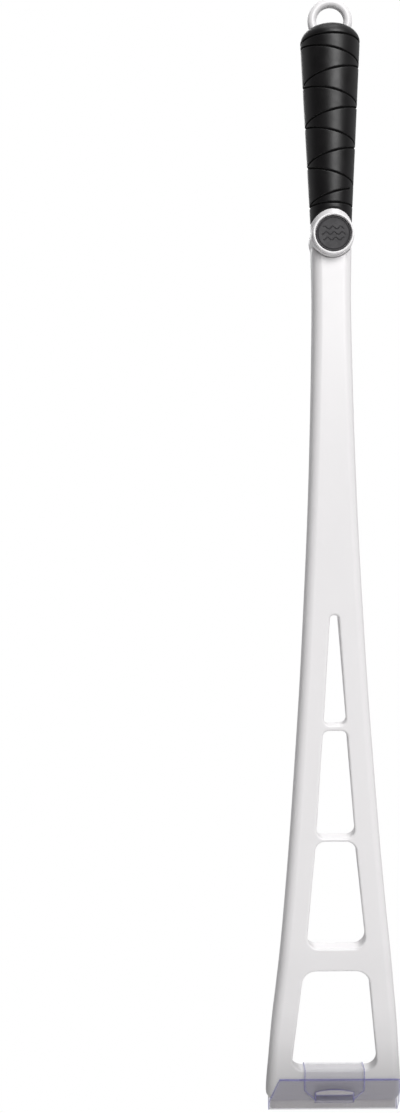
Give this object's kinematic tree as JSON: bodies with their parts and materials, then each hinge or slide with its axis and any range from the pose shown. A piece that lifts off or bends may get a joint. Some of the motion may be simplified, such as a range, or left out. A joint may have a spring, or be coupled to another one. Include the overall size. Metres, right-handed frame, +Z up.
{
  "type": "algae scraper",
  "caption": "Long-handled aquarium glass scraper: white shaft widening into a windowed head with a steel blade, black rubber grip, hang loop and clear slide-off blade guard.",
  "frame": {"origin": "centre of the hang eye, from which the tool hangs", "axes": "+Z up along the tool from the blade to the hang loop, -Y out of the front face with the round inlay, +X to the right seen from the front"},
  "size_m": [0.0682, 0.0333, 0.5588],
  "materials": {
    "white_plastic": "satin moulded white ABS",
    "black_rubber": "satin soft rubber",
    "charcoal_rubber": "fine-grained matt rubber",
    "stainless_steel": "fine brushed",
    "clear_sheet": "clear, slightly blue PVC sheet"
  },
  "bodies": {
    "tool": {"handle_core": "white_plastic", "grip_sleeve": "black_rubber", "shaft_frame": "white_plastic", "front_cap": "white_plastic", "front_inlay": "charcoal_rubber", "knuckle_screw": "stainless_steel", "knuckle_nut": "stainless_steel", "rear_cap": "white_plastic", "scraper_blade": "stainless_steel", "blade_clamp": "white_plastic", "clamp_screw_left": "stainless_steel", "clamp_screw_centre": "stainless_steel", "clamp_screw_right": "stainless_steel"},
    "guard": {"guard_sleeve": "clear_sheet"},
    "tongue": {"guard_tongue": "clear_sheet"}
  },
  "joints": [
    {"name": "guard_pull_off", "type": "slide", "parent": "tool", "child": "guard", "axis": [0, 0.1736, -0.9848], "range_m": [0, 0.03], "deforming": ["guard_tongue"]},
    {"name": "tongue_unhook", "type": "hinge", "parent": "guard", "child": "tongue", "pos_m": [0, 0.01607, -0.52657], "axis": [-1, 0, 0], "range_deg": [0, 120]}
  ]
}
